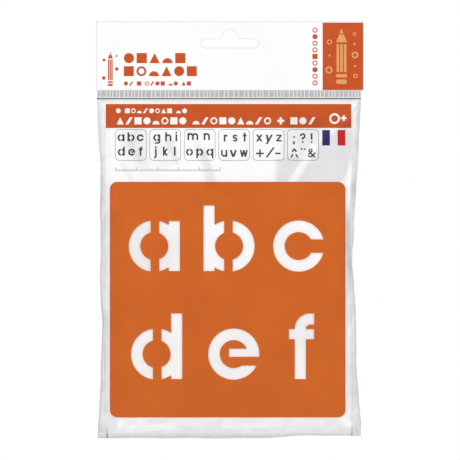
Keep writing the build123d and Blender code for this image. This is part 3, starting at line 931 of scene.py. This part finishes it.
def make_print(name, loops, face_y, body, ink, bolder=0.0):
    """Ink of a small real thickness on a card's front face."""
    curve = bpy.data.curves.new(name, "CURVE")
    curve.dimensions = "2D"
    curve.fill_mode = "BOTH"
    curve.extrude = ink_height / 2
    curve.offset = bolder
    for loop in loops:
        spline = curve.splines.new("POLY")
        spline.points.add(len(loop) - 1)
        for point, spot in zip(spline.points, loop):
            point.co = (*at_pixel(*spot), 0, 1)
        spline.use_cyclic_u = True
    holder = bpy.data.objects.new(name + "_outline", curve)
    mesh = bpy.data.meshes.new_from_object(holder)
    bpy.data.objects.remove(holder)
    bpy.data.curves.remove(curve)
    upright = Matrix.Rotation(math.pi / 2, 4, "X")
    mesh.transform(Matrix.Translation((0, face_y - ink_height / 2, 0)) @ upright)
    mesh.name = name
    mesh.materials.clear()
    made = piece(name, mesh, ink)
    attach(made, body)
    return made


def cut_outlines(name):
    """The outlines of a sheet's cut letters, as loops of x and z, read from the CAD node's front face."""
    micron = 0.001 * mm
    spots = np.round(node_spots(name) / micron).astype(int)
    face_y = spots[:, 1].min()
    # Sides that two facets of the face share cancel out, and those that are left make the outlines
    ways = {}
    for polygon in nodes[name].data.polygons:
        corners = [tuple(spots[i]) for i in polygon.vertices]
        if all(corner[1] == face_y for corner in corners):
            for start, end in zip(corners, corners[1:] + corners[:1]):
                if start in ways.get(end, ()):
                    ways[end].remove(start)
                else:
                    ways.setdefault(start, []).append(end)
    loops = []
    while any(ways.values()):
        here = next(start for start, ends in ways.items() if ends)
        loop = []
        while ways.get(here):
            loop.append(here)
            here = ways[here].pop()
        loops.append([(x * micron, z * micron) for x, _, z in loop])
    loops.sort(key=lambda loop: max(x for x, _ in loop) - min(x for x, _ in loop))
    return loops[:-1]


def icon_glyphs(name, left, top, side):
    """A sheet's letters drawn small inside a square of the print."""
    scale = side / (sheet_high.x - sheet_low.x)
    return [
        [(left + (x - sheet_low.x) * scale, top + (sheet_high.z - z) * scale) for x, z in loop]
        for loop in cut_outlines(name)
    ]


# The header card's print, in the photograph's pixels. Rings and dots: middle and radius.
header_panel = (322.6, 22.6, 363.1, 90.0)
panel_rings = ((329.5, 42, 2.6), (354.5, 34, 1.8), (355.0, 55, 3.4), (329.0, 70, 3.6), (355.5, 76, 2.2))
panel_dots = ((329.5, 55.5, 1.1), (355, 66, 1.1), (354.5, 44, 1.1))
ring_width_share = 0.45
mark_dots = ((104, 60, 1.5), (116.6, 56, 1.0), (116.8, 69, 1.8), (103.8, 78, 1.8))
# Rows of marks: left, top, size and kinds
header_rows = (
    (123.8, 53.0, 10.2, "disc square triangle half square"),
    (123.8, 66.2, 10.0, "square ring half triangle disc square"),
    (123.8, 81.4, 4.2, "disc bar gap square gap ring bar disc square gap half disc gap triangle square"),
)
ladder_left, ladder_top, ladder_pitch, ladder_size = 312.4, 27.5, 6.6, 5.2
ladder_kinds = "ring disc ring ring square ring disc ring ring"

# The insert card's print, in the photograph's pixels
band_top, band_bottom = 104.0, 128.0
band_rows = (
    (116.0, 108.4, 4.8, "disc gap square ring half bar disc ring triangle square gap half disc"),
    (116.6, 117.3, 7.1, "triangle bar square disc half ring square disc gap half bar ring square disc"
                        " triangle half bar ring gap plus gap square disc bar"),
)
icon_left, icon_top, icon_side, icon_pitch = 115.1, 129.2, 31.4, 34.45
icon_line = 0.5
icon_corner = 4.2
icon_bolder = 0.06 * mm
blue_chip = (322.2, 130.0, 329.9, 145.5)
red_chip = (337.6, 130.0, 345.4, 145.5)
ruler_left, ruler_top, ruler_line, ruler_gap = 115.2, 170.6, 0.3, 0.2
tick_count, tick_pitch, tick_line = 50, 2.1, 0.45
short_tick, middle_tick, long_tick = 1.3, 2.2, 3.2


def print_header(orange, pale):
    """The header card's print: an orange panel with a pencil, and a pencil and rows of marks on the left."""
    face = header_low.y
    make_print("header_panel", box_shape(*header_panel), face, "header", orange)
    motif = pencil_shape(x=341.5, tip=28.5, foot=84.0, width=11.0)
    for x, y, radius in panel_rings:
        motif += ring_shape(x, y, radius, radius * ring_width_share)
    for dot in panel_dots:
        motif += round_shape(*dot)
    make_print("header_panel_motif", motif, face - ink_height, "header", pale)
    mark = pencil_shape(x=110.3, tip=52.0, foot=86.0, width=5.2)
    for dot in mark_dots:
        mark += round_shape(*dot)
    make_print("header_mark", mark, face, "header", orange)
    rows = []
    for row in header_rows:
        rows += mark_row(*row)
    make_print("header_marks", rows, face, "header", orange)
    ladder = []
    for step, kind in enumerate(ladder_kinds.split()):
        ladder += mark_shape(ladder_left, ladder_top + step * ladder_pitch, ladder_size, kind)
    make_print("header_side_marks", ladder, face, "header", orange)


def ruler_shape():
    """A line with small upright ticks over it, longer at every fifth and longest at every tenth."""
    loops = box_shape(ruler_left, ruler_top, ruler_left + tick_count * tick_pitch, ruler_top + ruler_line)
    foot = ruler_top - ruler_gap
    for step in range(tick_count + 1):
        length = long_tick if step % 10 == 0 else middle_tick if step % 5 == 0 else short_tick
        x = ruler_left + step * tick_pitch
        loops += box_shape(x, foot - length, x + tick_line, foot)
    return loops


def print_insert(orange, white, grey, line_grey, blue, red):
    """The insert card's print: a title band, six small sheets, two colour chips and a ruler line."""
    face = insert_low.y
    band_left = slot_pixel_x + insert_low.x / pixel_size
    band_right = slot_pixel_x + insert_high.x / pixel_size
    band = box_shape(band_left, band_top, band_right, band_bottom)
    make_print("title_band", band, face, "insert", orange)
    marks = []
    for row in band_rows:
        marks += mark_row(*row)
    marks += ring_shape(x=334.6, y=118.6, radius=5.4, width=2.0)
    marks += mark_shape(left=340.8, top=115.2, size=5.8, kind="plus")
    make_print("title_marks", marks, face - ink_height, "insert", white)
    frames, glyphs = [], []
    for step, name in enumerate(stencil_names):
        left = icon_left + step * icon_pitch
        for inset in (0, icon_line):
            top, far = icon_top + inset, icon_side - inset
            frames += rounded_shape(left + inset, top, left + far, icon_top + far, icon_corner - inset)
        glyphs += icon_glyphs(name, left, icon_top, icon_side)
    make_print("sheet_frames", frames, face, "insert", line_grey)
    make_print("sheet_glyphs", glyphs, face, "insert", grey, icon_bolder)
    make_print("blue_chip", box_shape(*blue_chip), face, "insert", blue)
    make_print("red_chip", box_shape(*red_chip), face, "insert", red)
    make_print("ruler_line", ruler_shape(), face, "insert", grey)


# World, light, floor and camera
def make_world():
    """Plain white where the camera looks, and a dimmer room that lights the pack and shows in its gloss."""
    room = 0.53
    mirrored_in_front, mirrored_behind = 0.24, 1.0
    world = bpy.data.worlds.new("studio")
    bpy.context.scene.world = world
    world.use_nodes = True
    tree = world.node_tree
    tree.nodes.clear()
    path = put(tree, "ShaderNodeLightPath")
    direction = put(tree, "ShaderNodeSeparateXYZ", {0: put(tree, "ShaderNodeTexCoord")["Generated"]})
    mirrored = fade(tree, direction[1], -0.3, 0.3, mirrored_in_front, mirrored_behind)
    seen = maths(tree, "MAXIMUM", path["Is Camera Ray"], path["Is Transmission Ray"])
    mirror_or_room = {0: path["Is Glossy Ray"], 2: room, 3: mirrored}
    strength = put(tree, "ShaderNodeMix", mirror_or_room, data_type="FLOAT")[0]
    strength = put(tree, "ShaderNodeMix", {0: seen, 2: strength, 3: 1.0}, data_type="FLOAT")[0]
    background = put(tree, "ShaderNodeBackground", {"Color": (1, 1, 1, 1), "Strength": strength})[0]
    put(tree, "ShaderNodeOutputWorld", {"Surface": background})


def make_lamp(name, place, width, height, power):
    """A soft oblong lamp that faces the pack's middle."""
    lamp = bpy.data.lights.new(name, "AREA")
    lamp.shape = "RECTANGLE"
    lamp.size = width
    lamp.size_y = height
    lamp.energy = power
    made = bpy.data.objects.new(name, lamp)
    bpy.context.scene.collection.objects.link(made)
    made.location = place
    middle = Vector((0, 0, (header_high.z + weld_low.z) / 2))
    made.rotation_euler = (middle - Vector(place)).to_track_quat("-Z", "Y").to_euler()
    made.visible_camera = False


def make_floor(material):
    """A square floor a little below the pack."""
    half = 1.5
    drop = 16 * mm
    height = weld_low.z - drop
    corners = [(-half, -half, height), (half, -half, height), (half, half, height), (-half, half, height)]
    mesh = bpy.data.meshes.new("floor")
    mesh.from_pydata(corners, [], [(0, 1, 2, 3)])
    piece("floor", mesh, material)


def make_camera():
    """Straight on and without perspective, as the photograph is."""
    distance = 1.0
    data = bpy.data.cameras.new("camera")
    data.type = "ORTHO"
    data.ortho_scale = picture_side * pixel_size
    camera = bpy.data.objects.new("camera", data)
    bpy.context.scene.collection.objects.link(camera)
    x, z = at_pixel(picture_side / 2, picture_side / 2)
    camera.location = (x, -distance, z)
    camera.rotation_euler = (math.pi / 2, 0, 0)
    bpy.context.scene.camera = camera
    bpy.context.scene.view_settings.view_transform = "Standard"


film_grey = (0.28, 0.28, 0.285, 1)
crimp_grey = (0.6, 0.6, 0.61, 1)
clear_film = film_finish(
    "clear_film_finish", (0.998, 0.998, 0.998, 1), film_grey, gloss=0.018, roughness=0.1
)
folded_film = film_finish(
    "folded_film_finish", (0.992, 0.992, 0.992, 1), film_grey, gloss=0.02, roughness=0.14
)
pressed_film = film_finish(
    "pressed_film_finish", (0.93, 0.93, 0.93, 1), crimp_grey, gloss=0.05, roughness=0.2, milk=0.12
)
welded_film = film_finish(
    "welded_film_finish", (0.985, 0.985, 0.985, 1), film_grey, gloss=0.03, roughness=0.15, milk=0.03
)

header_board = card_finish(
    "header_board", header_low, header_high, dim=0.915, bright=0.93, edge_shade_share=0.85, slot=True
)
insert_board = card_finish(
    "insert_board", insert_low, insert_high, dim=0.945, bright=0.98, edge_shade_share=0.06, shades=letter_shades
)
dress("header_card", header_board)
dress("insert_card", insert_board)
for stencil_name in stencil_names:
    dress(stencil_name, plastic_finish(stencil_name + "_plastic", *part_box(stencil_name)))

bag_grids = make_bag(clear_film)
fold_gap = 0.3 * mm
make_side("film_side_left", "left_gusset", 0, insert_low.x - fold_gap, bag_grids, folded_film)
make_side("film_side_right", "right_gusset", -1, insert_high.x + fold_gap, bag_grids, folded_film)
make_crimp(pressed_film)
make_weld(welded_film)

print_header(
    orange=ink_finish("orange_ink", linear(194, 77, 22)),
    pale=ink_finish("pale_orange_ink", linear(222, 155, 100)),
)
print_insert(
    orange=ink_finish("deep_orange_ink", linear(198, 80, 14)),
    white=ink_finish("white_ink", linear(246, 246, 244)),
    grey=ink_finish("dark_grey_ink", linear(60, 60, 62)),
    line_grey=ink_finish("light_grey_ink", linear(140, 140, 142)),
    blue=ink_finish("blue_ink", linear(38, 38, 108)),
    red=ink_finish("red_ink", linear(212, 28, 32)),
)

make_world()
make_lamp("key_lamp", place=(-0.9, -1.2, 0.75), width=0.7, height=0.7, power=11.4)
make_lamp("fill_lamp", place=(1.2, -1.1, 0.1), width=0.9, height=0.9, power=6.2)
make_lamp("back_lamp", place=(0.7, 1.3, 0.6), width=0.9, height=0.9, power=10)
make_lamp("right_strip_lamp", place=(0.42, -1.3, -0.12), width=0.08, height=1.0, power=0.9)
make_lamp("low_strip_lamp", place=(0, -1.3, -0.54), width=1.0, height=0.08, power=0.9)
make_floor(floor_finish())
make_camera()
